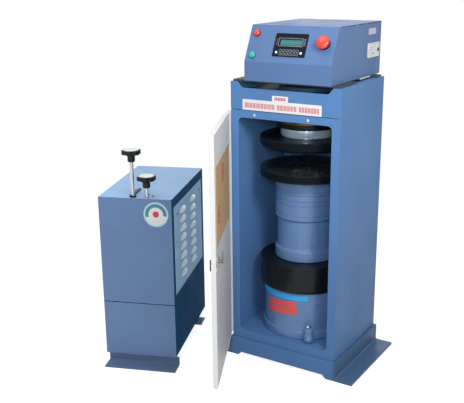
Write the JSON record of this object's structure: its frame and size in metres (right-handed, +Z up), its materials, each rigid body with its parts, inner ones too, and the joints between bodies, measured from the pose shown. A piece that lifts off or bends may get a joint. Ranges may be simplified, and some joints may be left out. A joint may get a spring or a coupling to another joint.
{
  "type": "compression testing machine",
  "caption": "Compression testing machine: welded load frame with jack, spacers, platens, door and console, and a separate pump cabinet with valve rods.",
  "frame": {"origin": "middle of the whole footprint, with the door open as at rest, at floor level", "axes": "+X to the right as the user faces the load frame, +Y to its back, +Z up along the load axis"},
  "size_m": [0.9128, 0.7042, 1.083],
  "materials": {
    "frame_paint": "satin enamel",
    "dark_paint": "satin enamel",
    "door_paint": "satin enamel",
    "black_steel": "blackened, oiled",
    "bright_steel": "ground",
    "chrome": "polished",
    "brass": "turned",
    "tank": "plain",
    "black_plastic": "matt",
    "red_plastic": "gloss",
    "green_plastic": "gloss",
    "lcd": "gloss",
    "white_plastic": "gloss"
  },
  "bodies": {
    "machine": {"side_plate_left": "frame_paint", "side_plate_right": "frame_paint", "front_panel": "frame_paint", "top_cover": "frame_paint", "rear_panel": "frame_paint", "crosshead": "black_steel", "base_bolster": "frame_paint", "foot_angle_left": "dark_paint", "foot_angle_right": "dark_paint", "plinth_skirts": "frame_paint", "hinge_strip": "door_paint", "rear_port": "bright_steel", "hinge_fixed_1": "bright_steel", "hinge_fixed_2": "bright_steel", "jack_cylinder": "frame_paint", "pressure_union": "frame_paint", "bleed_screw": "bright_steel", "seat_collar": "black_steel", "brass_ring": "brass", "top_flange": "black_steel", "console_shell": "frame_paint", "console_lid": "frame_paint", "console_rails": "black_steel", "display_module": "black_plastic", "lcd_window": "lcd", "stop_collar": "black_plastic", "socket_plate": "white_plastic", "pump_shell": "dark_paint", "pump_front_upper": "frame_paint", "pump_front_lower": "frame_paint", "louvre_panel": "frame_paint", "pump_feet": "dark_paint", "oil_tank": "tank", "valve_block": "bright_steel"},
    "door": {"hinge_moving_1": "bright_steel", "hinge_moving_2": "bright_steel", "door_shell": "door_paint", "door_liner": "door_paint"},
    "latch": {"latch_head": "black_plastic", "latch_cam": "bright_steel"},
    "ram_stack": {"ram": "chrome", "ram_cover": "black_steel", "column_spacer": "frame_paint", "disc_1": "frame_paint", "disc_2": "frame_paint", "disc_3": "frame_paint", "disc_4": "frame_paint", "disc_5": "frame_paint", "lower_platen": "black_steel"},
    "upper_seat": {"upper_platen": "black_steel", "ball_seat": "chrome", "suspension_bolt": "bright_steel"},
    "red_push": {"red_button": "red_plastic"},
    "green_push": {"green_button": "green_plastic"},
    "stop_push": {"stop_button": "red_plastic"},
    "tall_spindle": {"tall_rod_bar": "bright_steel", "tall_knob": "black_plastic"},
    "short_spindle": {"short_rod_bar": "bright_steel", "short_knob": "black_plastic"},
    "lever": {"lock_lever": "black_plastic"}
  },
  "joints": [
    {"name": "door_hinge", "type": "hinge", "parent": "machine", "child": "door", "pos_m": [0.01342, -0.00838, 0.45], "axis": [0, 0, 1], "range_deg": [-40, 64]},
    {"name": "latch_turn", "type": "hinge", "parent": "door", "child": "latch", "pos_m": [0.15545, -0.29959, 0.452], "axis": [0.8988, 0.4384, 0], "range_deg": [0, 90]},
    {"name": "ram_lift", "type": "slide", "parent": "machine", "child": "ram_stack", "axis": [0, 0, 1], "range_m": [0, 0.05]},
    {"name": "seat_tilt", "type": "hinge", "parent": "machine", "child": "upper_seat", "pos_m": [0.20542, 0.16262, 0.707], "axis": [1, 0, 0], "range_deg": [-3, 3]},
    {"name": "red_press", "type": "slide", "parent": "machine", "child": "red_push", "axis": [0, 0.9013, -0.4333], "range_m": [0, 0.0025], "stiffness_N_per_m": 600, "springref_m": -0.002},
    {"name": "green_press", "type": "slide", "parent": "machine", "child": "green_push", "axis": [0, 0.9013, -0.4333], "range_m": [0, 0.0025], "stiffness_N_per_m": 600, "springref_m": -0.002},
    {"name": "stop_press", "type": "slide", "parent": "machine", "child": "stop_push", "axis": [0, 0.9013, -0.4333], "range_m": [0, 0.004], "stiffness_N_per_m": 900, "springref_m": -0.003},
    {"name": "tall_valve_turn", "type": "hinge", "parent": "machine", "child": "tall_spindle", "pos_m": [-0.21253, -0.20545, 0.564], "axis": [0, 0, 1], "range_deg": [0, 360]},
    {"name": "short_valve_turn", "type": "hinge", "parent": "machine", "child": "short_spindle", "pos_m": [-0.17005, -0.18914, 0.564], "axis": [0, 0, 1], "range_deg": [0, 360]},
    {"name": "lever_swing", "type": "hinge", "parent": "machine", "child": "lever", "pos_m": [-0.21253, -0.20545, 0.564], "axis": [0, 0, 1], "range_deg": [-25, 45]}
  ]
}
